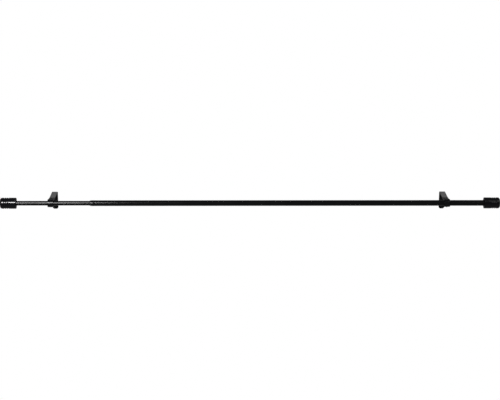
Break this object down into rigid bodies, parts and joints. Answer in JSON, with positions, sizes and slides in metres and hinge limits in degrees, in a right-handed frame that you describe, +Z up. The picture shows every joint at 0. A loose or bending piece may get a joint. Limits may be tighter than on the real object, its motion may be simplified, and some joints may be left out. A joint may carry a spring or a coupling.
{
  "type": "curtain rod",
  "caption": "Telescopic curtain rod: a thin tube slides in a thick tube, with ribbed cylindrical finials and bent-strip wall brackets with a round eye.",
  "frame": {"origin": "on the rod's axis, half way between the outer ends of the two finials", "axes": "+X along the rod towards the thick tube's end, +Y from the rod to the wall, +Z up"},
  "size_m": [1.4028, 0.1155, 0.0615],
  "materials": {
    "painted_tube": "gloss",
    "painted_strip": "satin",
    "gloss_finial": "high gloss",
    "collar_plastic": "gloss",
    "core_plastic": "matte",
    "guide_plastic": "matte",
    "black_screw": "black oxide"
  },
  "bodies": {
    "right_bracket": {"right_bracket": "painted_strip"},
    "right_bracket_screw": {"right_bracket_screw": "black_screw"},
    "outer_rod": {"outer_tube": "painted_tube", "end_collar": "collar_plastic"},
    "right_finial": {"right_finial_shell": "gloss_finial", "right_finial_core": "core_plastic"},
    "right_finial_screw": {"right_finial_screw": "black_screw"},
    "inner_rod": {"inner_tube": "painted_tube", "tail_guide": "guide_plastic"},
    "left_finial": {"left_finial_shell": "gloss_finial", "left_finial_core": "core_plastic"},
    "left_finial_screw": {"left_finial_screw": "black_screw"},
    "left_bracket": {"left_bracket": "painted_strip", "left_bracket_reducer": "core_plastic"},
    "left_bracket_screw": {"left_bracket_screw": "black_screw"}
  },
  "joints": [
    {"name": "rod_shift", "type": "slide", "parent": "right_bracket", "child": "outer_rod", "axis": [1, 0, 0], "range_m": [-0.094, 0.97]},
    {"name": "telescope", "type": "slide", "parent": "outer_rod", "child": "inner_rod", "axis": [-1, 0, 0], "range_m": [-0.1, 0.69]},
    {"name": "left_bracket_shift", "type": "slide", "parent": "inner_rod", "child": "left_bracket", "axis": [1, 0, 0], "range_m": [-0.085, 0]},
    {"name": "left_finial_pull", "type": "slide", "parent": "inner_rod", "child": "left_finial", "axis": [-1, 0, 0], "range_m": [0, 0.035]},
    {"name": "right_finial_pull", "type": "slide", "parent": "outer_rod", "child": "right_finial", "axis": [1, 0, 0], "range_m": [0, 0.035]},
    {"name": "left_finial_screw_back_out", "type": "slide", "parent": "left_finial", "child": "left_finial_screw", "axis": [0, 0, -1], "range_m": [0, 0.002]},
    {"name": "right_finial_screw_back_out", "type": "slide", "parent": "right_finial", "child": "right_finial_screw", "axis": [0, 0, -1], "range_m": [0, 0.002]},
    {"name": "left_bracket_screw_back_out", "type": "slide", "parent": "left_bracket", "child": "left_bracket_screw", "axis": [0, 0, -1], "range_m": [0, 0.002]},
    {"name": "right_bracket_screw_back_out", "type": "slide", "parent": "right_bracket", "child": "right_bracket_screw", "axis": [0, 0, -1], "range_m": [0, 0.002]}
  ]
}
